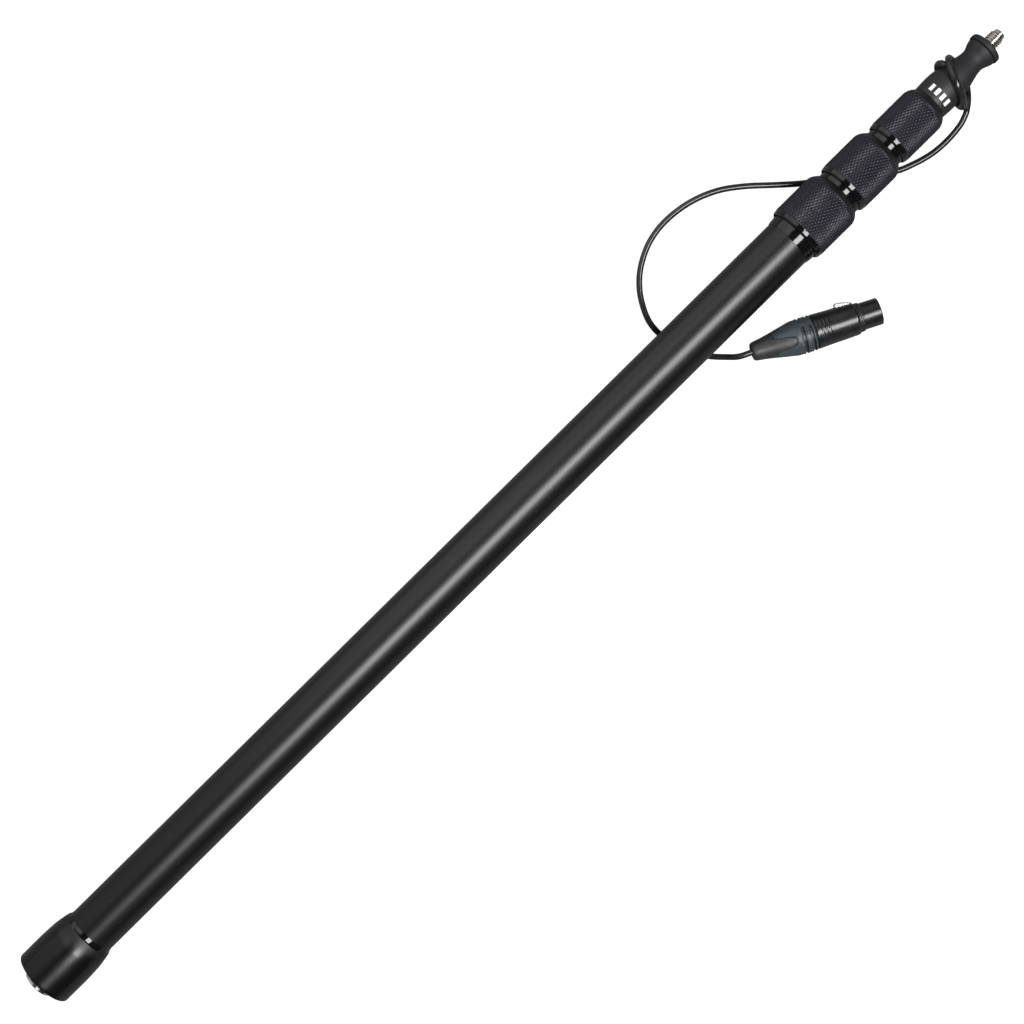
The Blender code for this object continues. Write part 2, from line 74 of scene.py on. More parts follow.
class Axis:
    """A straight axis with two sides square to it."""

    def __init__(self, start, along, first):
        self.start = Vector(start)
        self.along = Vector(along).normalized()
        self.first = Vector(first).normalized()
        self.second = self.along.cross(self.first)

    def place(self, along, radius=0.0, turn=0.0):
        """The world point at a place on the axis's round piece."""
        side = self.first * math.cos(turn) + self.second * math.sin(turn)
        return self.start + (self.along * along + side * radius) * MM

    def beside(self, along, first, second):
        """The axis moved sideways, starting at a new point."""
        start = self.start + (self.along * along + self.first * first + self.second * second) * MM
        return Axis(start, self.along, self.first)


def mesh_points(node):
    """The corners of a CAD node, each once, and the corners that each one shares an edge with."""
    mesh = frame["nodes"][node].data
    weld = 0.002 * MM
    numbers, index_of, points = {}, [], []
    for vertex in mesh.vertices:
        key = tuple(round(value / weld) for value in vertex.co)
        if key not in numbers:
            numbers[key] = len(points)
            points.append(vertex.co.copy())
        index_of.append(numbers[key])
    near = [set() for _ in points]
    for edge in mesh.edges:
        a, b = (index_of[i] for i in edge.vertices)
        if a != b:
            near[a].add(b)
            near[b].add(a)
    return points, near


def middle(points):
    """The mean of some points."""
    return sum(points, Vector()) / len(points)


def long_direction(node, towards):
    """The direction of a straight slender node, from its two ends' corners."""
    points = sorted(mesh_points(node)[0], key=lambda point: point.x)
    half = len(points) // 2
    direction = middle(points[half:]) - middle(points[:half])
    return direction if direction.dot(towards) > 0 else -direction


def lowest(node):
    """The lowest corner of a CAD node."""
    return min((vertex.co for vertex in frame["nodes"][node].data.vertices), key=lambda co: co.z)


UP = Vector((0, 0, 1))
POLE_ALONG = Vector((1, 0, 0))
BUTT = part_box("base_cap")[0].x
POLE = Axis((BUTT, 0, 0), POLE_ALONG, UP)


def stations(node):
    """Where a node of the pole starts and ends, from the butt's end face."""
    low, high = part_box(node)
    return (low.x - BUTT) / MM, (high.x - BUTT) / MM


def radius_of(node):
    """The outer radius of a node of the pole."""
    low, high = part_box(node)
    return (high.y - low.y) / 2 / MM


# the cable connector's insert: how far its face is from the boot's rear, and its length
INSERT_FACE = 80.5
INSERT_LENGTH = 22.5


def connector_axis():
    """The cable connector's axis. It starts at the boot's rear, and its first side is the latch's."""
    along = long_direction("connector_contact_1", POLE_ALONG).normalized()
    insert_middle = middle(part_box("connector_insert"))
    start = insert_middle - along * (INSERT_FACE - INSERT_LENGTH / 2) * MM
    return Axis(start, along, UP.cross(along))


PLUG = connector_axis()
PLUG_HEADING = math.atan2(PLUG.along.y, PLUG.along.x)


# ---- curves


def smooth_path(points, steps):
    """A smooth curve through points, with some steps between each two of them."""
    ways = [Vector(point) for point in points]
    ways = [2 * ways[0] - ways[1]] + ways + [2 * ways[-1] - ways[-2]]
    path = []
    for before, start, end, after in zip(ways, ways[1:], ways[2:], ways[3:]):
        # centripetal tangents keep unevenly spaced points from overshooting
        a, b, c = (
            max((q - p).length, 1e-9) ** 0.5
            for p, q in ((before, start), (start, end), (end, after))
        )
        leave = ((start - before) / a - (end - before) / (a + b) + (end - start) / b) * b
        arrive = ((end - start) / b - (after - start) / (b + c) + (after - end) / c) * b
        for step in range(steps):
            t = step / steps
            path.append(
                start * (2 * t**3 - 3 * t**2 + 1)
                + leave * (t**3 - 2 * t**2 + t)
                + end * (3 * t**2 - 2 * t**3)
                + arrive * (t**3 - t**2)
            )
    path.append(ways[-2])
    return path


def profile(points):
    """A smooth radius as a function of the place along an axis."""
    path = smooth_path(points, 8)

    def radius(along):
        for low, high in zip(path, path[1:]):
            if along <= high.x:
                share = (along - low.x) / (high.x - low.x)
                return low.y + (high.y - low.y) * max(0.0, share)
        return path[-1].y

    return radius


def section(*corners):
    """A closed section. A corner is (along, radius), or (along, radius, rounding) for a round one."""
    steps = 5
    points = []
    for i, corner in enumerate(corners):
        at = Vector(corner[:2])
        if len(corner) == 2:
            points.append(at)
            continue
        sides = []
        for other in (corners[i - 1], corners[(i + 1) % len(corners)]):
            away = Vector(other[:2]) - at
            sides.append(at + away.normalized() * min(corner[2], away.length * 0.45))
        start, end = sides
        for step in range(steps + 1):
            t = step / steps
            points.append(start * (1 - t) ** 2 + at * 2 * t * (1 - t) + end * t**2)
    return points


def filled(*corners):
    """The closed section of a piece with no bore, from its outer corners."""
    return section((corners[0][0], 0), *corners, (corners[-1][0], 0))


def smooth_step(value, low, high):
    """Rises smoothly from 0 at low to 1 at high."""
    share = min(1.0, max(0.0, (value - low) / (high - low)))
    return share * share * (3 - 2 * share)


def hump(value, centre, half_width, soft):
    """1 near a centre, falling softly to 0 outside the half width."""
    return 1 - smooth_step(abs(value - centre), half_width - soft, half_width + soft)


# ---- meshes


def stitch(shape, rows, looped):
    """Joins rows of corners with faces. A row of one corner becomes the tip of a fan."""
    pairs = list(zip(rows, rows[1:]))
    if looped:
        pairs.append((rows[-1], rows[0]))
    for low, high in pairs:
        count = max(len(low), len(high))
        if count == 1:
            continue
        for i in range(count):
            j = (i + 1) % count
            corners = (low[i % len(low)], low[j % len(low)], high[j % len(high)], high[i % len(high)])
            shape.faces.new(tuple(dict.fromkeys(corners)))


def shade(mesh):
    """Smooth shading with crisp edges."""
    mesh.shade_smooth()
    mesh.set_sharp_from_angle(angle=SHARP_ANGLE)


def add_object(name, data, place=(0, 0, 0), turn=(0, 0, 0)):
    """A new object in the scene."""
    item = bpy.data.objects.new(name, data)
    item.location = place
    item.rotation_euler = turn
    bpy.context.scene.collection.objects.link(item)
    return item


def new_piece(name, shape):
    """An object from a closed bmesh, with its faces pointing out."""
    bmesh.ops.recalc_face_normals(shape, faces=shape.faces)
    mesh = bpy.data.meshes.new(name)
    shape.to_mesh(mesh)
    shape.free()
    shade(mesh)
    return add_object(name, mesh)


def add_rows(shape, rings):
    """Rows of bmesh corners at rings of points."""
    return [[shape.verts.new(point) for point in ring] for ring in rings]


def even_turns(count):
    """Turns spaced evenly round an axis."""
    return [math.tau * i / count for i in range(count)]


def rings_of(axis, points, turns, relief=None):
    """The rings that a section makes round an axis. A relief changes the radius place by place."""
    rings = []
    for along, radius in points:
        if radius <= 0:
            rings.append([axis.place(along)])
            continue
        rise = [relief(along, radius, turn) if relief else 0.0 for turn in turns]
        rings.append([axis.place(along, radius + high, turn) for high, turn in zip(rise, turns)])
    return rings


def revolve(name, axis, points, count=ROUND, relief=None):
    """A turned piece: a closed section, or one that starts and ends on the axis."""
    shape = bmesh.new()
    rows = add_rows(shape, rings_of(axis, points, even_turns(count), relief))
    stitch(shape, rows, looped=True)
    return new_piece(name, shape)


def loft(name, rings):
    """A closed piece through rings of points, with flat ends."""
    shape = bmesh.new()
    rows = add_rows(shape, rings)
    stitch(shape, rows, looped=False)
    shape.faces.new(rows[0])
    shape.faces.new(rows[-1])
    return new_piece(name, shape)


def sweep_rings(path, radii, sides):
    """Round sections along a path, without twist."""
    rings = []
    side = None
    for i, (point, radius) in enumerate(zip(path, radii)):
        ahead = (path[min(i + 1, len(path) - 1)] - path[max(i - 1, 0)]).normalized()
        if side is None:
            side = ahead.orthogonal().normalized()
        side = (side - ahead * side.dot(ahead)).normalized()
        other = ahead.cross(side)
        ways = [side * math.cos(turn) + other * math.sin(turn) for turn in even_turns(sides)]
        rings.append([point + way * radius * MM for way in ways])
    return rings


def rod(axis, start, end, radius, count=SMALL_ROUND):
    """A plain round cutter."""
    turns = even_turns(count)
    return loft("cutter", rings_of(axis, [(start, radius), (end, radius)], turns))


def block(axis, along, first, second):
    """A plain box cutter. Each argument is a (low, high) pair in the axis's own directions."""
    (left, right), (low, high) = first, second
    corners = ((left, low), (right, low), (right, high), (left, high))
    rings = []
    for step in along:
        centre = axis.place(step)
        rings.append([centre + (axis.first * a + axis.second * b) * MM for a, b in corners])
    return loft("cutter", rings)


def carve(item, *cutters):
    """Cuts closed shapes out of a piece for good, and removes them."""
    for cutter in cutters:
        modifier = item.modifiers.new("cut", "BOOLEAN")
        modifier.operation = "DIFFERENCE"
        modifier.solver = "EXACT"
        modifier.object = cutter
    bpy.context.view_layer.update()
    evaluated = item.evaluated_get(bpy.context.evaluated_depsgraph_get())
    mesh = bpy.data.meshes.new_from_object(evaluated)
    item.modifiers.clear()
    item.data = mesh
    shade(mesh)
    for cutter in cutters:
        bpy.data.objects.remove(cutter)


def stand_for(item, node, *finishes):
    """The piece takes its finishes and stands for a CAD node, on that node's body."""
    for finish in finishes:
        item.data.materials.append(finish.material)
    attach(item, BODY_OF[node])
    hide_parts(node)
    return item


def turn_part(node, finish, points, axis=POLE, cutters=(), **form):
    """A turned piece that stands for a CAD node, with closed shapes cut out of it."""
    piece = revolve(f"{node}_detail", axis, points, **form)
    if cutters:
        carve(piece, *cutters)
    return stand_for(piece, node, finish)


# ---- finishes

# how much a noise is squeezed along each axis: a turned part's lines are equal all round
EVEN = (1, 1, 1)
TURNED = (1, 0.0, 0.0)


class Finish:
    """A procedural material. Its noises live in the object's own space, turned to a heading."""

    def __init__(self, name, colour, roughness, metallic=0.0, heading=0.0, **inputs):
        self.material = bpy.data.materials.new(name)
        self.material.use_nodes = True
        self.nodes = self.material.node_tree.nodes
        self.links = self.material.node_tree.links
        self.shader = self.nodes["Principled BSDF"]
        self.colour = colour
        self.heading = heading
        self.set("Base Color", (*colour, 1.0))
        self.set("Roughness", roughness)
        self.set("Metallic", metallic)
        for key, value in inputs.items():
            self.set(key.replace("_", " ").title().replace("Ior", "IOR"), value)

    def set(self, key, value):
        """Sets an input of the main shader, or links a socket to it."""
        if isinstance(value, bpy.types.NodeSocket):
            self.links.new(value, self.shader.inputs[key])
        else:
            self.shader.inputs[key].default_value = value

    def node(self, kind, **inputs):
        """A new node with some of its inputs set or linked."""
        node = self.nodes.new(kind)
        for key, value in inputs.items():
            socket = node.inputs[key]
            if isinstance(value, bpy.types.NodeSocket):
                self.links.new(value, socket)
            else:
                socket.default_value = value
        return node

    def noise(self, size, stretch=EVEN, detail=2):
        """Noise with features of a size in millimetres, longer along a direction of small stretch."""
        place = self.node("ShaderNodeTexCoord").outputs["Object"]
        turned = self.node("ShaderNodeMapping", Vector=place, Rotation=(0, 0, -self.heading))
        mapped = self.node("ShaderNodeMapping", Vector=turned.outputs[0], Scale=stretch)
        noise = self.node(
            "ShaderNodeTexNoise", Vector=mapped.outputs[0], Scale=1 / (size * MM), Detail=detail
        )
        return noise.outputs["Fac"]

    def remap(self, value, low, high, start=0.3, end=0.7):
        """Maps a value from start..end to low..high."""
        node = self.nodes.new("ShaderNodeMapRange")
        self.links.new(value, node.inputs["Value"])
        for key, number in (("From Min", start), ("From Max", end), ("To Min", low), ("To Max", high)):
            node.inputs[key].default_value = number
        return node.outputs["Result"]

    def mix(self, share, first, second):
        """A colour between two colours or sockets."""
        node = self.nodes.new("ShaderNodeMix")
        node.data_type = "RGBA"
        self.links.new(share, node.inputs["Factor"])
        for socket, value in ((node.inputs[6], first), (node.inputs[7], second)):
            if isinstance(value, bpy.types.NodeSocket):
                self.links.new(value, socket)
            else:
                socket.default_value = (*value, 1.0)
        return node.outputs[2]

    def attribute(self, name):
        """A number stored on the mesh's corners."""
        node = self.nodes.new("ShaderNodeAttribute")
        node.attribute_name = name
        return node.outputs["Fac"]

    def tone(self, value, spread):
        """Varies the base colour by a share, up and down."""
        dark = tuple(channel * (1 - spread) for channel in self.colour)
        light = tuple(channel * (1 + spread) for channel in self.colour)
        socket = self.mix(self.remap(value, 0, 1), dark, light)
        self.set("Base Color", socket)
        return socket

    def bump(self, *layers):
        """Adds relief, each layer a (value, height in millimetres) pair."""
        normal = None
        for value, height in layers:
            node = self.node("ShaderNodeBump", Height=value, Distance=height * MM)
            if normal:
                self.links.new(normal, node.inputs["Normal"])
            normal = node.outputs["Normal"]
        self.set("Normal", normal)


def tube_finish():
    """Satin black anodising on a drawn tube, with streaks along it and a few specks of dust."""
    finish = Finish("satin_anodised_tube", (0.0028, 0.0028, 0.0033), 0.37)
    streaks = finish.noise(1.6, (0.02, 1, 1), 4)
    clouds = finish.noise(30, (0.4, 1, 1), 3)
    grain = finish.noise(0.25)
    finish.set("Roughness", finish.remap(streaks, 0.32, 0.365))
    base = finish.tone(clouds, 0.12)
    specks = finish.remap(finish.noise(1.1, detail=0), 0, 1, 0.80, 0.86)
    finish.set("Base Color", finish.mix(specks, base, (0.03, 0.03, 0.03)))
    finish.bump((streaks, 0.01), (grain, 0.006))
    return finish


def turned_finish(name, colour, low, high):
    """Satin black anodising on a turned part, with fine tool lines round it. The mesh's dullness
    makes it rougher."""
    finish = Finish(name, colour, low)
    lines = finish.noise(0.35, TURNED)
    clouds = finish.noise(9, detail=3)
    finish.tone(clouds, 0.15)
    rough = finish.node("ShaderNodeMath", Value=finish.remap(clouds, low, high))
    finish.links.new(finish.attribute("dullness"), rough.inputs[1])
    finish.set("Roughness", rough.outputs[0])
    finish.bump((lines, 0.008), (finish.noise(0.3), 0.006))
    return finish


def knurl_finish():
    """Black anodising on the knurl. The diamonds' tops are lighter, partly from wear and partly as a
    painted highlight for their glints.
    """
    finish = Finish("knurled_anodised", (0.0082, 0.0076, 0.0125), 0.43, specular_ior_level=0.30)
    clouds = finish.noise(5, detail=3)
    base = finish.tone(clouds, 0.25)
    # painted highlight and wear: the higher a corner on the "peak" attribute, the more it is mixed
    # towards a lighter colour
    worn_and_highlit = finish.remap(finish.attribute("peak"), 0.0, 1.0, 0.55, 1.0)
    finish.set("Base Color", finish.mix(worn_and_highlit, base, (0.030, 0.0275, 0.044)))
    finish.set("Roughness", finish.remap(clouds, 0.37, 0.49))
    finish.bump((finish.noise(0.2), 0.01))
    return finish


def drifting_finish(name, colour, shine, drift, *relief, **inputs):
    """A finish whose tone and roughness drift together, from shine's low to its high. The drift is
    (size, detail, share of tone). A relief is (size, detail, height), and one with a fourth item
    is turned: its lines run round the piece."""
    finish = Finish(name, colour, sum(shine) / 2, **inputs)
    size, detail, spread = drift
    clouds = finish.noise(size, detail=detail)
    finish.tone(clouds, spread)
    finish.set("Roughness", finish.remap(clouds, *shine))
    layers = []
    for size, detail, height, *turned in relief:
        grain = finish.noise(size, TURNED if turned else EVEN, detail)
        layers.append((grain, height))
    finish.bump(*layers)
    return finish


def metal_finish(name, colour, roughness, heading=0.0, lines=0.3, relief=0.006):
    """Plated or turned metal, with fine lines round the part and uneven shine."""
    shine = (roughness * 0.8, roughness * 1.25)
    return drifting_finish(
        name, colour, shine, (2.5, 3, 0.12), (lines, 2, relief, "turned"), metallic=1.0, heading=heading
    )


def moulded_finish(name, colour, roughness, **inputs):
    """Plain moulded plastic with a light grain."""
    shine = (roughness * 0.9, roughness * 1.1)
    return drifting_finish(name, colour, shine, (3, 3, 0.15), (0.25, 2, 0.01), **inputs)


TUBE_BLACK = tube_finish()
CAP_BLACK = turned_finish("satin_anodised_cap", (0.0018, 0.0018, 0.0024), 0.26, 0.30)
NOSE_BLACK = turned_finish("satin_anodised_nose", (0.0050, 0.0050, 0.0058), 0.40, 0.46)
SLEEVE_BLACK = turned_finish("dull_anodised_sleeve", (0.0090, 0.0088, 0.0105), 0.50, 0.56)
KNURL_BLACK = knurl_finish()

# nearly a mirror, with smears and hairlines
POLISHED = drifting_finish(
    "polished_anodised", (0.0035, 0.0035, 0.0040), (0.06, 0.11), (3, 3, 0.3), (0.3, 2, 0.0012, "turned")
)
# fine-grained and matte, on the neck and the washer
NECK_BLACK = drifting_finish(
    "matte_neck", (0.0108, 0.0102, 0.0136), (0.57, 0.63), (6, 4, 0.18), (0.35, 3, 0.02),
    specular_ior_level=0.36,
)
# rubber with a dry bloom
BOOT_RUBBER = drifting_finish(
    "boot_rubber", (0.022, 0.022, 0.022), (0.42, 0.50), (4, 4, 0.25), (0.3, 3, 0.02), heading=PLUG_HEADING
)
# blue-grey plastic with a spark-eroded grain
NUT_PLASTIC = drifting_finish(
    "moulded_grey_plastic", (0.034, 0.044, 0.051), (0.36, 0.45), (5, 3, 0.15), (0.3, 2, 0.015),
    heading=PLUG_HEADING,
)
# semi-gloss plating over fine turning lines
SHELL_BLACK = drifting_finish(
    "black_plated_shell", (0.010, 0.010, 0.011), (0.23, 0.28), (4, 3, 0.2),
    (0.4, 2, 0.0012, "turned"), (0.3, 2, 0.002), heading=PLUG_HEADING,
)
# a glossy jacket, slightly uneven along its length
CABLE_BLACK = drifting_finish(
    "glossy_cable_jacket", (0.014, 0.014, 0.0145), (0.10, 0.15), (6, 2, 0.3),
    (6, 2, 0.04), (0.5, 2, 0.003),
)
NICKEL = metal_finish("nickel_plate", (0.80, 0.79, 0.77), 0.20)
LATCH_NICKEL = metal_finish("latch_nickel", (0.66, 0.65, 0.61), 0.24, PLUG_HEADING, relief=0.001)
GOLD = metal_finish("gold_plate", (0.78, 0.60, 0.26), 0.22)
STEEL = metal_finish("stainless_steel", (0.60, 0.56, 0.52), 0.24, lines=0.2, relief=0.01)
DARK_STEEL = metal_finish("blackened_steel", (0.07, 0.07, 0.075), 0.32)
INSERT_BLACK = moulded_finish("insert_plastic", (0.016, 0.016, 0.016), 0.42)
RING_BLACK = moulded_finish("glossy_ring_plastic", (0.018, 0.018, 0.019), 0.33)
NYLON = moulded_finish("natural_nylon", (0.66, 0.65, 0.60), 0.45, subsurface_weight=0.15)
WHITE_INK = moulded_finish("white_ink", (0.75, 0.75, 0.75), 0.5)


# ---- butt

# where the cap's flare starts
CAP_CREASE = 29.6


def make_base_cap():
    """The flared cap: a soft corner at the butt, and a faint crease where the flare starts."""
    start, end = stations("base_cap")
    radius = radius_of("base_cap")
    bore = radius_of("base_connector_barrel") + GAP
    socket = radius_of("tube_1") + GAP
    body = smooth_path(
        [(3.4, radius - 0.05), (14.0, radius), (22.0, radius - 0.16), (CAP_CREASE, radius - 0.56)], 6
    )
    flare = smooth_path(
        [
            (CAP_CREASE + 0.1, radius - 0.59), (31.2, radius - 0.79), (33.6, radius - 1.21),
            (36.6, radius - 1.75), (end - 0.1, radius - 2.15),
        ],
        5,
    )
    points = section((start, bore, 0.4), (start, radius, 3.2), (3.6, radius - 0.04))
    points += body[1:] + flare[1:]
    points += section(
        (end, radius - 2.2), (end, socket), (21.7, socket), (21.7, 14.0), (16.0, 14.0), (16.0, bore)
    )
    screw = middle(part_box("connector_set_screw"))
    hole = Axis((screw.x, 0, 0), -UP, POLE_ALONG)
    cutter = rod(hole, bore - 2, radius + 3, 1.65)
    cap = turn_part("base_cap", CAP_BLACK, points, cutters=[cutter], count=160)
    dull = cap.data.attributes.new("dullness", "FLOAT", "POINT")
    for vertex in cap.data.vertices:
        along = (vertex.co.x - BUTT) / MM
        dull.data[vertex.index].value = 0.22 * smooth_step(along, CAP_CREASE + 0.5, end - 0.5)


def make_set_screw():
    """A socket set screw, with its hexagon facing out."""
    low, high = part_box("connector_set_screw")
    radius = (high.x - low.x) / 2 / MM
    start, end = -high.z / MM, -low.z / MM
    axis = Axis(((low.x + high.x) / 2, 0, 0), -UP, POLE_ALONG)
    points = filled((start, radius, 0.25), (end, radius, 0.2))
    screw = revolve("set_screw_detail", axis, points, count=SMALL_ROUND)
    carve(screw, rod(axis, end - 1.6, end + 1, 0.72, count=6))
    stand_for(screw, "connector_set_screw", DARK_STEEL)


def make_base_ferrule():
    """The polished ring that flares in a hollow curve from the tube to the cap."""
    start, end = stations("base_ferrule")
    radius = radius_of("base_ferrule")
    tube = radius_of("tube_1")
    bore = tube + GAP / 3
    cap_end = stations("base_cap")[1] + 0.02
    curve = [
        (cap_end, radius + 0.1), (start + 0.8, tube + 0.6), (start + 1.9, tube + 0.2), (end, tube + 0.07)
    ]
    points = [(cap_end, bore)] + smooth_path(curve, 5) + [(end, bore)]
    turn_part("base_ferrule", POLISHED, points)


def make_base_connector():
    """The male three-pin connector: barrel with a rolled rim and a keyway, insert and pins."""
    rim, back = stations("base_connector_barrel")
    radius = radius_of("base_connector_barrel")
    insert_radius = radius_of("base_connector_insert")
    bore = insert_radius + GAP
    keyway, keyway_depth = math.radians(7), 0.55

    def keyed(along, at_radius, turn):
        """The keyway is a groove in the barrel's bore."""
        if at_radius > bore + 0.1 or along > 3:
            return 0.0
        return keyway_depth * hump(abs(turn - math.pi), 0, keyway, keyway * 0.3)

    points = section(
        (rim, bore, 0.25), (rim, radius, 0.45), (rim + 1.6, radius), (rim + 1.9, radius - 0.2),
        (back, radius - 0.2), (back, bore), (2.9, bore), (rim + 1.0, bore),
    )
    barrel = revolve("base_barrel_detail", POLE, points, relief=keyed)
    stand_for(barrel, "base_connector_barrel", NICKEL)
    face, insert_back = stations("base_connector_insert")
    points = filled((face, insert_radius, 0.4), (insert_back, insert_radius))
    insert = revolve("base_insert_detail", POLE, points, count=96)
    pins = []
    for number in (1, 2, 3):
        node = f"base_pin_{number}"
        low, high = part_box(node)
        pin_radius = (high.y - low.y) / 2 / MM
        centre = (low + high) / 2
        axis = Axis((BUTT, centre.y, centre.z), POLE_ALONG, UP)
        start, end = stations(node)
        points = filled((start, pin_radius, 0.9), (end, pin_radius, 0.1))
        turn_part(node, GOLD, points, axis, count=SMALL_ROUND)
        pins.append(rod(axis, start - 3, end + 3, pin_radius + 0.2))
    carve(insert, *pins)
    stand_for(insert, "base_connector_insert", INSERT_BLACK)


# ---- tubes and locks

TUBE_WALL = 1.25
THREAD_STEP = 0.4


def make_tubes():
    for number in (1, 2, 3, 4):
        node = f"tube_{number}"
        start, end = stations(node)
        radius = radius_of(node)
        inner = radius - TUBE_WALL
        points = section(
            (start, inner, 0.2), (start, radius, 0.3), (end, radius, 0.3), (end, inner, 0.2)
        )
        turn_part(node, TUBE_BLACK, points, count=160)


def make_end_plugs():
    """A nylon guide with a grooved flange in each inner tube's lower end."""
    flange = 3.7
    for number in (2, 3, 4):
        node = f"end_plug_{number}"
        start, end = stations(node)
        radius = radius_of(node)
        spigot = radius_of(f"tube_{number}") - TUBE_WALL - GAP
        bore = spigot - 1.35
        shoulder = start + flange
        points = section(
            (start, bore, 0.3), (start, radius - 0.1, 0.6), (start + 1.3, radius),
            (start + 1.5, radius - 0.4), (start + 2.2, radius - 0.4), (start + 2.4, radius),
            (shoulder, radius, 0.2), (shoulder, spigot), (end, spigot, 0.4), (end, bore, 0.3),
        )
        turn_part(node, NYLON, points)


def make_ferrules():
    """The polished ferrule on each outer tube's end. Its rear part is threaded under the collar."""
    for index in (1, 2, 3):
        node = f"ferrule_{index}"
        start, end = stations(node)
        thread = radius_of(node)
        visible = thread - THREAD_STEP
        collar = stations(f"collar_{index}")[0]
        bore = radius_of(f"tube_{index}") + GAP
        next_bore = radius_of(f"tube_{index + 1}") + 2 * GAP
        seat = stations(f"tube_{index}")[1] + 2 * GAP
        # the first ferrule has a long lead, the others a small chamfer
        lead = [(0.0, 0.65), (1.3, 0.33), (2.2, 0.2), (3.6, 0.06)] if index == 1 else [(0.0, 0.2)]
        front = [(start + step, visible - drop) for step, drop in lead]
        points = section(
            (start, bore), *front, (front[-1][0] + 0.4, visible),
            (collar + 0.6, visible), (collar + 1.0, thread), (end - 1.0, thread), (end, thread - 0.8),
            (end, next_bore), (seat, next_bore), (seat, bore),
        )
        turn_part(node, POLISHED, points)


def make_collets():
    """The split nylon ring under each collar, with one slit."""
    slit = 0.6
    for index in (1, 2, 3):
        node = f"collet_{index}"
        start, end = stations(node)
        tube = radius_of(f"tube_{index + 1}")
        points = section(
            (start, tube + GAP, 0.2), (start, tube + 2.2, 0.3),
            (end, tube + 1.3, 0.3), (end, tube + GAP, 0.2),
        )
        cutter = block(POLE, (start - 2, end + 2), (-tube - 5, 0), (-slit, slit))
        turn_part(node, NYLON, points, cutters=[cutter])


# The knurl: its pitch round the collar and along it, its depth, and the share of a diamond's
# width that its flat top takes
KNURL_ROUND = 2.1
KNURL_ALONG = 3.4
KNURL_DEPTH = 0.44
KNURL_TOP = 0.26
# a collar's polished land and rounded nose: their lengths, and the nose's drop on each collar
LAND = 3.6
NOSE = 7.0
NOSE_DROPS = (3.8, 3.6, 3.3)


def knurl_turns(periods):
    """Turns that fit the knurl's first row: a groove, then the two corners of a diamond's top."""
    turns = []
    for period in range(periods):
        for place in (0.0, 0.5 - KNURL_TOP / 2, 0.5 + KNURL_TOP / 2):
            turns.append(math.tau * (period + place) / periods)
    return turns


def walk(path, distance):
    """The point a distance along a path, and the direction square to the path there."""
    for low, high in zip(path, path[1:]):
        step = (high - low).length
        if distance <= step or high is path[-1]:
            ahead = (high - low) / step
            return low + ahead * distance, Vector((-ahead.y, ahead.x))
        distance -= step


def add_knurl(shape, path, periods_along, periods):
    """Rows of diamonds with flat tops along an outline. They fade towards its end. Returns the
    first and last row of corners, which have the turns of knurl_turns."""
    peak = shape.verts.layers.float.new("peak")
    chance = random.Random(7)
    unevenness, fade, fade_length = 0.12, 0.7, 2.0
    length = sum((high - low).length for low, high in zip(path, path[1:]))
    pitch = length / periods_along

    def corner(step, turn, height):
        """A corner at a share of the knurl's depth over the grooves."""
        distance = step * pitch
        depth = KNURL_DEPTH * (1 - fade * smooth_step(distance, length - fade_length, length))
        point, outwards = walk(path, distance)
        point = point + outwards * depth * (height - 1)
        vertex = shape.verts.new(POLE.place(point.x, point.y, math.tau * turn / periods))
        vertex[peak] = height
        return vertex

    rows = 2 * periods_along
    grooves = []
    for row in range(rows + 1):
        shift = (row % 2) / 2
        grooves.append([corner(row / 2, k + shift, 0.0) for k in range(periods)])
    half = KNURL_TOP / 2
    ends = {0: [], rows: []}
    for row in range(rows + 1):
        shift = ((row + 1) % 2) / 2
        for k in range(periods):
            # a diamond lies between two groove corners of its own row
            if row % 2 == 0:
                left, right = grooves[row][k], grooves[row][(k + 1) % periods]
            else:
                left, right = grooves[row][k - 1], grooves[row][k]
            height = 1 - chance.random() * unevenness
            centre = k + shift
            top_left = corner(row / 2, centre - half, height)
            top_right = corner(row / 2, centre + half, height)
            tops = []
            for step in (-1, 1):
                if not 0 <= row + step <= rows:
                    continue
                tip = grooves[row + step][k]
                top = corner(row / 2 + step * half, centre, height)
                tops.append(top)
                shape.faces.new((left, top_left, top, tip))
                shape.faces.new((right, tip, top, top_right))
            shape.faces.new((top_left, tops[0], top_right, *tops[1:]))
            if row in ends:
                ends[row] += [left, top_left, top_right]
    return ends[0], ends[rows]


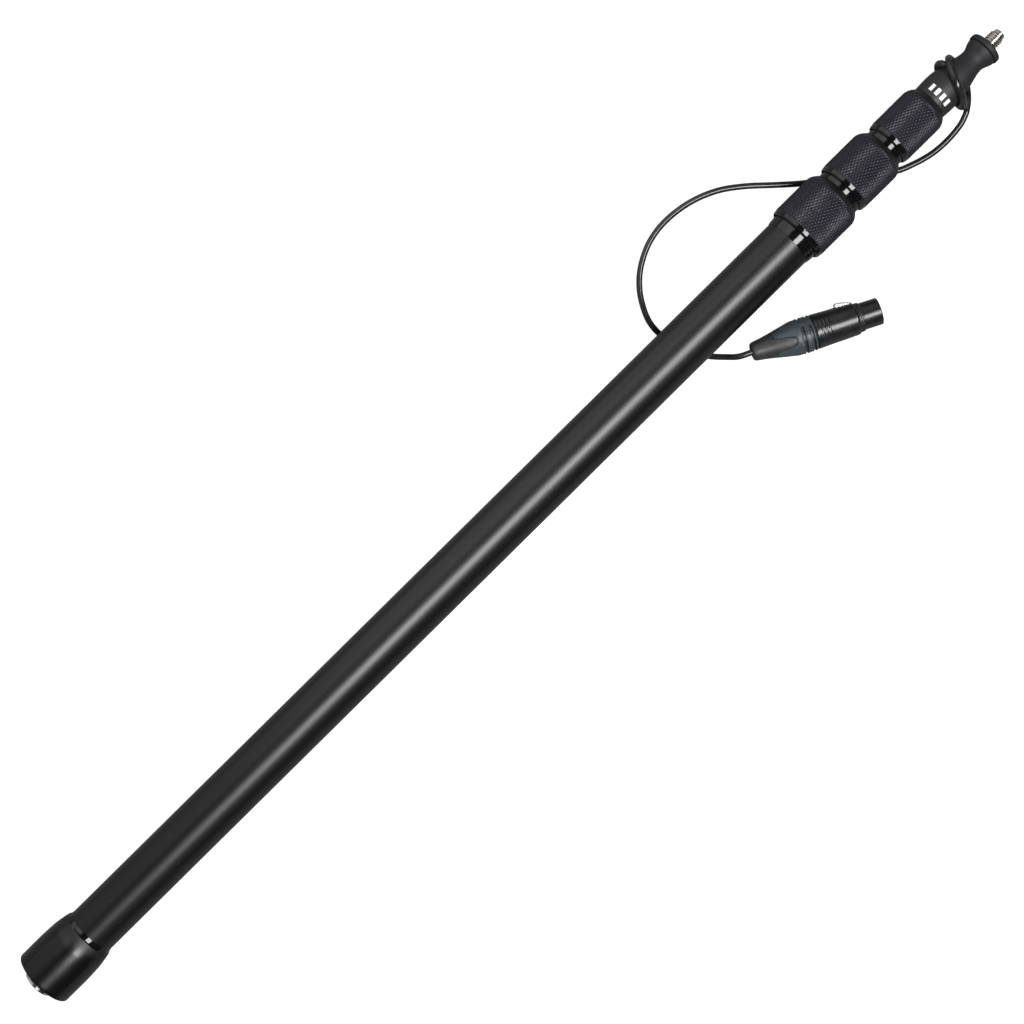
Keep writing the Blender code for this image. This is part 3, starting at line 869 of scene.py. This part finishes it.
def make_collar(index):
    """A lock collar: polished land, diamond knurl, and a rounded nose."""
    node = f"collar_{index}"
    start, end = stations(node)
    radius = radius_of(node)
    thread = radius_of(f"ferrule_{index}") + 2 * GAP
    tube = radius_of(f"tube_{index + 1}")
    periods = round(math.tau * radius / KNURL_ROUND)
    turns = knurl_turns(periods)
    knurl_start = start + LAND
    nose_start = end - NOSE
    drop = NOSE_DROPS[index - 1]
    steps, smooth_from = 20, 9
    nose = [
        Vector((nose_start + NOSE * step / steps, radius - drop * (step / steps) ** 2))
        for step in range(steps + 1)
    ]
    path = [Vector((knurl_start, radius))] + nose[:smooth_from]
    periods_along = round((path[-1].x - knurl_start) / KNURL_ALONG)
    before = section(
        (end, tube + 0.35, 0.3), (start + 30.0, tube + 0.35), (start + 29.5, tube + 1.6),
        (start + 17.6, tube + 2.5), (start + 17.3, thread), (start, thread, 0.2),
        (start, radius - 1.3, 0.4), (start + 0.7, radius - 0.65), (start + 1.5, radius - 0.42),
        (start + 2.6, radius - 0.3), (knurl_start - 0.25, radius - 0.25),
    )
    shape = bmesh.new()
    first, last = add_knurl(shape, path, periods_along, periods)
    rows = add_rows(shape, rings_of(POLE, before, turns))
    stitch(shape, rows + [first], looped=False)
    nose_rows = add_rows(shape, rings_of(POLE, nose[smooth_from:], turns))
    stitch(shape, [last] + nose_rows + [rows[0]], looped=False)
    collar = new_piece(f"{node}_detail", shape)
    stand_for(collar, node, KNURL_BLACK, POLISHED, NOSE_BLACK)
    land_end = BUTT + (knurl_start - 0.3) * MM
    knurl_end = BUTT + nose[smooth_from].x * MM
    for face in collar.data.polygons:
        if face.center.x < land_end:
            face.material_index = 1
        elif face.center.x > knurl_end:
            face.material_index = 2


# ---- tip

# outlines as (along, radius): the sleeve's from its own start, the neck's from the butt
SLEEVE_FORM = (
    (0.0, 11.75), (1.0, 11.95), (5.1, 12.15), (9.1, 12.25), (13.1, 12.05), (16.1, 11.65), (17.3, 11.25),
)
NECK_FORM = (
    (771.8, 10.85), (775.0, 10.55), (778.9, 9.95), (782.6, 8.95), (786.2, 8.1), (789.9, 7.7),
    (791.7, 8.0), (793.5, 8.7), (795.3, 9.45), (796.8, 9.9), (797.7, 10.05),
)


def make_tip_sleeve():
    """The waisted sleeve. Its first edge is rounded."""
    start, end = stations("tip_sleeve")
    bore = radius_of("tube_4") + GAP
    seat = stations("tube_4")[1] + 2 * GAP
    form = [(start + along, radius) for along, radius in SLEEVE_FORM]
    points = section((start, bore), (start, form[0][1], 0.4), form[1])
    points += smooth_path(form[1:], 5)[1:]
    points += section((end, form[-1][1] - 0.15), (end, 9.9), (seat, 9.9), (seat, bore))
    turn_part("tip_sleeve", SLEEVE_BLACK, points)


def make_sleeve_mark():
    """A plain printed index: short white dashes side by side round the sleeve."""
    start = stations("tip_sleeve")[0]
    low, high = start + 3.0, start + 7.6
    radius = profile([(start + along, radius) for along, radius in SLEEVE_FORM])
    dash_turn, step_turn, first_turn = math.radians(11), math.radians(21), math.radians(-33)
    proud, sunk, columns, rows = 0.04, 0.06, 6, 6
    shape = bmesh.new()
    for dash in range(4):
        rings = []
        for row in range(rows + 1):
            along = low + (high - low) * row / rows
            ring = []
            for height, steps in ((proud, range(columns + 1)), (-sunk, range(columns, -1, -1))):
                for column in steps:
                    turn = first_turn + dash * step_turn + dash_turn * column / columns
                    ring.append(POLE.place(along, radius(along) + height, turn))
            rings.append(ring)
        corners = add_rows(shape, rings)
        stitch(shape, corners, looped=False)
        shape.faces.new(corners[0])
        shape.faces.new(corners[-1])
    mark = new_piece("sleeve_mark", shape)
    mark.data.materials.append(WHITE_INK.material)
    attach(mark, BODY_OF["tip_sleeve"])


def cable_line(node, end_place, reach):
    """The centre line of a CAD cable, from the end at a known place. The cable's corners lie in
    rings, and each ring shares edges only with its neighbours."""
    points, near = mesh_points(node)
    ring = {i for i, point in enumerate(points) if (point - end_place).length < reach * MM}
    seen, centres = set(ring), []
    while ring:
        centres.append(middle([points[i] for i in ring]))
        ring = set().union(*(near[i] for i in ring)) - seen
        seen |= ring
    return centres


CABLE_RADIUS = 1.9
CABLE_END = 30.0
CABLE_LINE = cable_line("tip_cable", PLUG.place(CABLE_END), CABLE_RADIUS * 1.2)


STUD_GAP = 0.19


def make_tip_head():
    """The hourglass neck with the cable's exit, and a groove before the washer."""
    start, end = stations("tip_head")
    bore = radius_of("tip_stud") + STUD_GAP
    form = smooth_path(NECK_FORM, 4)
    points = section((783.0, 0), (783.0, 4.6), (start, 4.6), (start, 9.7), (771.8, 9.7), (771.8, 10.4))
    points += form
    points += section((end - 0.2, 10.0), (end, 9.5), (end, bore), (788.0, bore), (788.0, 0))
    leaving = CABLE_LINE[-1] - CABLE_LINE[-4]
    exit_axis = Axis(CABLE_LINE[-1], -leaving, POLE_ALONG)
    cutter = rod(exit_axis, -4.5, 9.0, CABLE_RADIUS + 0.3)
    turn_part("tip_head", NECK_BLACK, points, cutters=[cutter])


def make_tip_washer():
    """The rounded washer under the microphone mount."""
    start, end = stations("tip_washer")
    radius = radius_of("tip_washer")
    bore = radius_of("tip_stud") + STUD_GAP
    points = section(
        (start, bore), (start, radius - 0.5, 0.1), (start + 0.4, radius, 0.5),
        (end, radius, 1.5), (end, bore, 0.4),
    )
    turn_part("tip_washer", NECK_BLACK, points)


THREAD_PITCH = 25.4 / 16
THREAD_DEPTH = 0.82


def make_stud():
    """The 3/8 inch stud with a real 16-per-inch thread and a chamfered end."""
    start, end = stations("tip_stud")
    major = radius_of("tip_stud")
    rows_per_pitch, crest, root = 16, 0.14, 0.50
    tip_drop, tip_length = 1.1, 1.9
    thread_start = stations("tip_washer")[1] + 0.8
    rows = int((end - start) / THREAD_PITCH * rows_per_pitch)

    def radius(along, turn):
        """The thread's radius, limited by the chamfered ends and by the plain shank."""
        phase = (along / THREAD_PITCH - turn / math.tau) % 1.0
        away = abs(phase - 0.5) * 2
        depth = THREAD_DEPTH * smooth_step(1 - away, 1 - root - 0.35, 1 - crest)
        cut = smooth_step(along, thread_start - 0.5, thread_start + 0.4)
        from_end = end - along
        point = major - tip_drop + min(from_end, tip_length) * 0.1
        point += max(0.0, from_end - tip_length) * 0.6
        point = min(point - depth * 0.4, major - 1.6 + from_end * 2)
        return min(major - depth * cut, point, major - 0.6 + (along - start))

    turns = even_turns(96)
    rings = [[POLE.place(start)]]
    for row in range(rows + 1):
        along = start + (end - start) * row / rows
        rings.append([POLE.place(along, radius(along, turn), turn) for turn in turns])
    rings.append([POLE.place(end)])
    shape = bmesh.new()
    stitch(shape, add_rows(shape, rings), looped=False)
    stand_for(new_piece("tip_stud_detail", shape), "tip_stud", STEEL)


# ---- cables


def make_tip_cable():
    """The external cable. Its jacket is thicker where it wraps the neck."""
    thicker, wrapped, taper = 0.38, 118.0, 22.0
    path = smooth_path(CABLE_LINE, 5)
    from_head = 0.0
    radii = []
    for i in range(len(path) - 1, -1, -1):
        radii.append(CABLE_RADIUS + thicker * (1 - smooth_step(from_head, wrapped - taper, wrapped)))
        # the outer side keeps its place, so the thicker part sinks into the rubber
        towards = Vector((0, -path[i].y, -path[i].z)).normalized()
        if i:
            from_head += (path[i] - path[i - 1]).length / MM
        path[i] = path[i] + towards * (radii[-1] - CABLE_RADIUS) * MM
    cable = loft("tip_cable_detail", sweep_rings(path, radii[::-1], 20))
    stand_for(cable, "tip_cable", CABLE_BLACK)


def make_coiled_cable():
    """The coil inside the last tube, with close turns."""
    start, end = stations("coiled_cable")
    low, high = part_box("coiled_cable")
    wire = 1.5
    radius = (high.z - low.z) / 2 / MM - wire
    turns, steps = 110, 18
    path = []
    for i in range(turns * steps + 1):
        along = start + wire + (end - start - 2 * wire) * i / (turns * steps)
        path.append(POLE.place(along, radius, math.tau * i / steps))
    coil = loft("coiled_cable_detail", sweep_rings(path, [wire] * len(path), 8))
    stand_for(coil, "coiled_cable", CABLE_BLACK)


# ---- cable connector

# the grip's outline, over the boot and the nut
GRIP_FORM = (
    (0.0, 5.3), (1.9, 5.9), (4.9, 6.35), (8.0, 6.85), (12.6, 7.75), (17.1, 8.75), (20.2, 9.45),
    (23.3, 10.05), (26.3, 10.6), (29.4, 10.95), (33.0, 11.05), (37.0, 11.0), (39.6, 10.9),
)
GRIP = profile(GRIP_FORM)
GRIP_END = GRIP_FORM[-1][0]
# the wavy edge between the boot's rubber and the nut's plastic
WAVE_MIDDLE = 20.7
WAVE_REACH = 6.7
WAVE_PHASE = math.radians(102)


def wave_edge(turn):
    """Where the rubber ends and the plastic starts: a wave with four round lobes."""
    steep, lobes = 1.7, 4
    wave = math.tanh(steep * math.cos(lobes * (turn - WAVE_PHASE))) / math.tanh(steep)
    return WAVE_MIDDLE + WAVE_REACH * wave


def make_connector_boot():
    """The tapered rubber boot. It sinks a little where it meets the plastic."""
    rows, sink = 40, 0.45
    turns = even_turns(192)
    rear = [(0.0, 4.5), (0.15, 4.95), (0.5, 5.35), (1.0, 5.6)]
    rings = rings_of(PLUG, rear, turns)
    for row in range(1, rows + 1):
        ring = []
        for turn in turns:
            edge = wave_edge(turn)
            along = 1.0 + (edge - 1.0) * row / rows
            radius = GRIP(along) - sink * smooth_step(along, edge - 0.9, edge)
            ring.append(PLUG.place(along, radius, turn))
        rings.append(ring)
    rings.append([PLUG.place(wave_edge(turn), GRIP(wave_edge(turn)) - 1.8, turn) for turn in turns])
    rings += rings_of(PLUG, [(12.5, 4.6), (10.0, 2.2), (0.0, 2.2)], turns)
    shape = bmesh.new()
    stitch(shape, add_rows(shape, rings), looped=True)
    stand_for(new_piece("connector_boot_detail", shape), "connector_boot", BOOT_RUBBER)


# the nut's two rows of slots
SLOT_PLACES = (32.2, 37.3)
SLOT_DEPTH = 1.6


def nut_relief(along, turn):
    """Two rows of long slots with raised lips, and tongue-shaped grooves between them."""
    slot_width, lip = 0.66, 0.18
    lands, first_land = math.radians(180), math.radians(43)
    from_land = abs((turn - first_land + lands / 2) % lands - lands / 2)
    open_part = smooth_step(from_land, math.radians(16), math.radians(19))
    relief = 0.0
    for place in SLOT_PLACES:
        relief -= SLOT_DEPTH * open_part * hump(along, place, slot_width, 0.12)
        for side in (-1, 1):
            relief += lip * hump(along, place + side * 1.2, 0.3, 0.3)
    # a tongue's outline keeps its distance from a short line round the nut
    tongues, tongue_radius, tongue_length = math.radians(120), 0.85, 5.4
    turned = ((turn - math.radians(60)) % tongues) * GRIP(along)
    beside = max(0.0, turned - tongue_length)
    from_outline = math.hypot(beside, along - 34.9) - tongue_radius
    if turned < tongue_length + 2 * tongue_radius:
        relief -= 0.5 * hump(from_outline, 0, 0.3, 0.15)
    # fine teeth behind the slots
    relief -= 0.2 * hump(along, 30.3, 0.45, 0.2) * (0.5 + 0.5 * math.sin(48 * turn))
    return relief


def make_connector_nut():
    """The ribbed plastic nut, whose tongues reach back between the boot's lobes."""
    rows, gap, lip = 120, 0.16, 0.16
    turns = even_turns(288)
    rings = []
    for row in range(rows + 1):
        ring = []
        for turn in turns:
            edge = wave_edge(turn) + gap
            along = edge + (GRIP_END - edge) * row / rows
            rim = lip * hump(along, edge + 0.55, 0.5, 0.35)
            rim -= 0.3 * (1 - smooth_step(along, edge, edge + 0.3))
            end_round = 0.9 * smooth_step(along, GRIP_END - 0.6, GRIP_END)
            radius = GRIP(along) + rim + nut_relief(along, turn) - end_round
            ring.append(PLUG.place(along, radius, turn))
        rings.append(ring)
    inner = [(GRIP_END, 8.9), (35.5, 8.9), (35.5, 7.3), (28.0, 7.3)]
    rings += rings_of(PLUG, inner, turns)
    rings.append([PLUG.place(wave_edge(turn) + gap, GRIP(wave_edge(turn)) - 1.6, turn) for turn in turns])
    shape = bmesh.new()
    stitch(shape, add_rows(shape, rings), looped=True)
    nut = new_piece("connector_nut_detail", shape)
    stand_for(nut, "connector_nut", NUT_PLASTIC, BOOT_RUBBER)
    # painted shade: the faces deep in the slots take the black rubber finish, so the slots look deep and
    # dark
    first, last = SLOT_PLACES[0] - 1.2, SLOT_PLACES[1] + 1.3
    past_bore = 9.2
    for face in nut.data.polygons:
        place = face.center - PLUG.start
        along = place.dot(PLUG.along) / MM
        radius = (place - PLUG.along * along * MM).length / MM
        if first < along < last and past_bore < radius < GRIP(along) - SLOT_DEPTH / 2:
            face.material_index = 1


SHELL_RIDGES = (43.9, 46.2, 48.5)


def shell_relief(along, radius, turn):
    """Three short grip ridges on the shell's top. The bore and the nose stay plain."""
    if radius < 9.5:
        return 0.0
    top = hump(turn, math.pi / 2, math.radians(34), math.radians(10))
    return sum(0.16 * top * hump(along, place, 0.45, 0.3) for place in SHELL_RIDGES)


def make_connector_shell():
    """The shell and its nose, with the latch's window."""
    nose_radius, bore = 8.4, 7.3
    nose_end = 81.9
    outer = section((36.0, bore), (36.0, 8.6), (39.9, 8.6), (39.9, 10.85, 0.7), (41.6, 10.85))
    # fine steps where the ridges are
    near, far, high, fall, steps = 41.8, 50.2, 10.84, 0.36, 44
    outer += [(near + (far - near) * i / steps, high - fall * i / steps) for i in range(steps + 1)]
    outer += section(
        (56.0, 10.42), (66.3, 10.15, 1.0), (67.15, 9.6, 0.3), (67.2, nose_radius, 0.15),
        (70.1, nose_radius), (70.25, nose_radius - 0.12), (70.7, nose_radius - 0.12),
        (70.85, nose_radius), (nose_end, nose_radius, 0.9), (nose_end, bore, 0.2),
    )
    window = block(PLUG, (55.8, 67.1), (4.0, 15.0), (-3.1, 3.1))
    turn_part("connector_shell", SHELL_BLACK, outer, PLUG, [window], count=160, relief=shell_relief)


def make_connector_ring():
    """The ring at the shell's step, with slanted teeth."""
    start, end, foot, teeth, slant = 67.3, 70.1, 8.55, 30, 1.5

    def toothed(along, radius, turn):
        """Teeth stand on the outside only."""
        if radius < 8.9:
            return 0.0
        phase = (teeth * turn / math.tau + slant * (along - start) / (end - start)) % 1.0
        return -0.5 * hump(phase, 0.5, 0.15, 0.05)

    steps = 20
    points = [(start, foot), (start, 8.85)]
    points += [(start + 0.2 + (end - start - 0.4) * i / steps, 9.1) for i in range(steps + 1)]
    points += [(end, 8.85), (end, foot)]
    turn_part("connector_ring", RING_BLACK, points, PLUG, count=360, relief=toothed)


def make_connector_chuck():
    """The nylon jaws that grip the cable."""
    points = section(
        (13.0, 2.1, 0.2), (13.0, 4.2, 0.4), (26.0, 6.5), (34.0, 6.9), (40.0, 6.9, 0.3), (40.0, 2.1, 0.2)
    )
    length, across, slit = (12.0, 24.0), (-9.0, 9.0), (-0.5, 0.5)
    cutters = [block(PLUG, length, across, slit), block(PLUG, length, slit, across)]
    turn_part("connector_chuck", NYLON, points, PLUG, cutters, count=96)


def make_connector_contacts():
    """The insert with its three lined holes, and a keyway on its side."""
    face, back, radius = INSERT_FACE, INSERT_FACE - INSERT_LENGTH, 7.1
    cutters = [block(PLUG, (face - 7, face + 2), (6.2, 9.0), (-0.9, 0.9))]
    for number in (1, 2, 3):
        node = f"connector_contact_{number}"
        centre = middle(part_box(node)) - PLUG.start
        axis = PLUG.beside(0, centre.dot(PLUG.first) / MM, centre.dot(PLUG.second) / MM)
        points = section((56.0, 1.15), (56.0, 1.6, 0.15), (80.0, 1.6, 0.2), (80.0, 1.15, 0.15))
        turn_part(node, GOLD, points, axis, count=SMALL_ROUND)
        cutters.append(rod(axis, back - 4, face + 4, 1.85))
    points = filled((back, radius), (face, radius, 0.5))
    turn_part("connector_insert", INSERT_BLACK, points, PLUG, cutters, count=96)


def make_latch():
    """The release lever: a crowned bar whose rear end stands up."""
    half, foot, crown = 2.8, 9.1, 0.35
    form = smooth_path(
        [(56.55, 12.1), (57.2, 12.55), (58.7, 12.5), (61.6, 11.95), (64.6, 11.15), (66.7, 10.2)], 6
    )
    rings = []
    for along, height in form:
        ring = [(-half, foot)]
        for step in range(-6, 7):
            share = step / 6
            edge = 0.4 * smooth_step(abs(share), 0.75, 1.0)
            ring.append((half * share, height - crown * share**2 - edge))
        ring.append((half, foot))
        rings.append([PLUG.place(along) + (PLUG.first * y + PLUG.second * x) * MM for x, y in ring])
    stand_for(loft("latch_detail", rings), "connector_latch", LATCH_NICKEL)


# ---- studio

CAMERA_PLACE = (-0.4138, 0.0015, 1.195)
CAMERA_TURN = -44.652
CAMERA_LENS = 69.44
SENSOR = 36.0


def make_camera():
    """Looks straight down on the pole, which runs across the picture's diagonal."""
    data = bpy.data.cameras.new("camera")
    data.lens = CAMERA_LENS
    data.sensor_width = SENSOR
    data.clip_end = 50
    camera = add_object("camera", data, CAMERA_PLACE, (0, 0, math.radians(CAMERA_TURN)))
    bpy.context.scene.camera = camera


def softbox(name, middle_x, tilt, distance, length, width, radiance):
    """A long soft light over the pole. The tilt is off the vertical, in degrees, towards +Y."""
    data = bpy.data.lights.new(name, "AREA")
    data.shape = "RECTANGLE"
    data.size = length
    data.size_y = width
    data.energy = radiance * 4 * length * width
    turn = math.radians(tilt)
    place = (middle_x, distance * math.sin(turn), distance * math.cos(turn))
    add_object(name, data, place, (-turn, 0, 0)).visible_camera = False


def make_lights():
    """A narrow key on one side of the pole, which fades towards the butt, and dim panels from the
    other side's height down."""
    softbox("key_softbox", -0.125, -21, 1.75, length=1.75, width=0.64, radiance=11.8)
    softbox("key_tail", -1.35, -21, 1.75, length=0.70, width=0.64, radiance=1.5)
    softbox("high_fill", -0.12, 36, 2.0, length=1.66, width=1.08, radiance=0.74)
    softbox("low_fill", -0.12, 70, 2.0, length=1.66, width=1.30, radiance=0.48)


def seen_and_lighting(tree, seen, lighting):
    """Mixes two shaders: the first is what the camera sees, the second lights the object."""
    path = tree.nodes.new("ShaderNodeLightPath")
    mix = tree.nodes.new("ShaderNodeMixShader")
    tree.links.new(path.outputs["Is Camera Ray"], mix.inputs["Fac"])
    tree.links.new(lighting, mix.inputs[1])
    tree.links.new(seen, mix.inputs[2])
    return mix.outputs[0]


def make_world():
    """White round the picture, and a dim room, lighter on the fill's side, for reflections."""
    world = bpy.data.worlds.new("studio_room")
    bpy.context.scene.world = world
    world.use_nodes = True
    tree = world.node_tree
    nodes, links = tree.nodes, tree.links
    white = nodes["Background"]
    white.inputs["Color"].default_value = (1, 1, 1, 1)
    room = nodes.new("ShaderNodeBackground")
    place = nodes.new("ShaderNodeTexCoord")
    split = nodes.new("ShaderNodeSeparateXYZ")
    links.new(place.outputs["Generated"], split.inputs[0])
    product = nodes.new("ShaderNodeMath")
    product.operation = "MULTIPLY"
    ramps = (("Y", (0.22, 0.50, 0.03, 0.56)), ("X", (0.50, 0.85, 1.0, 0.25)))
    for socket, (side, numbers) in zip(product.inputs, ramps):
        ramp = nodes.new("ShaderNodeMapRange")
        ramp.interpolation_type = "SMOOTHSTEP"
        links.new(split.outputs[side], ramp.inputs["Value"])
        for key, number in zip(("From Min", "From Max", "To Min", "To Max"), numbers):
            ramp.inputs[key].default_value = number
        links.new(ramp.outputs["Result"], socket)
    links.new(product.outputs[0], room.inputs["Strength"])
    output = nodes["World Output"]
    links.new(seen_and_lighting(tree, white.outputs[0], room.outputs[0]), output.inputs["Surface"])


def make_floor():
    """A plain pale floor that touches the butt cap and the lowest part of the cable."""
    butt = lowest("base_cap")
    slopes = []
    for node in ("tip_cable", "connector_nut", "connector_shell"):
        touch = lowest(node)
        slopes.append(((butt.z - touch.z) / (touch.x - butt.x), touch))
    slope = max(slopes, key=lambda item: item[0])[0]
    size, cells = 7.0, 14
    shape = bmesh.new()
    bmesh.ops.create_grid(shape, x_segments=cells, y_segments=cells, size=size)
    mesh = bpy.data.meshes.new("studio_floor")
    shape.to_mesh(mesh)
    shape.free()
    place = (butt.x, 0, butt.z - 0.05 * MM)
    add_object("studio_floor", mesh, place, (0, math.atan(slope), 0))
    finish = Finish("pale_paper_floor", (0.17, 0.17, 0.17), 0.9)
    tree = finish.material.node_tree
    finish.tone(finish.noise(60, detail=3), 0.03)
    white = tree.nodes.new("ShaderNodeEmission")
    white.inputs["Strength"].default_value = 0.98
    both = tree.nodes.new("ShaderNodeAddShader")
    tree.links.new(white.outputs[0], both.inputs[0])
    tree.links.new(finish.shader.outputs[0], both.inputs[1])
    output = tree.nodes["Material Output"]
    mixed = seen_and_lighting(tree, both.outputs[0], finish.shader.outputs[0])
    tree.links.new(mixed, output.inputs["Surface"])
    mesh.materials.append(finish.material)


def dress_base_lead():
    """The lead's CAD node stays, with the cables' finish."""
    lead = frame["nodes"]["base_lead"]
    lead.data.materials.clear()
    lead.data.materials.append(CABLE_BLACK.material)


def main():
    make_base_cap()
    make_set_screw()
    make_base_ferrule()
    make_base_connector()
    make_tubes()
    make_end_plugs()
    make_ferrules()
    make_collets()
    for index in (1, 2, 3):
        make_collar(index)
    make_tip_sleeve()
    make_sleeve_mark()
    make_tip_head()
    make_tip_washer()
    make_stud()
    make_tip_cable()
    make_coiled_cable()
    make_connector_boot()
    make_connector_nut()
    make_connector_shell()
    make_connector_ring()
    make_connector_chuck()
    make_connector_contacts()
    make_latch()
    dress_base_lead()
    make_floor()
    make_world()
    make_lights()
    make_camera()
    bpy.context.scene.view_settings.view_transform = "Standard"


main()
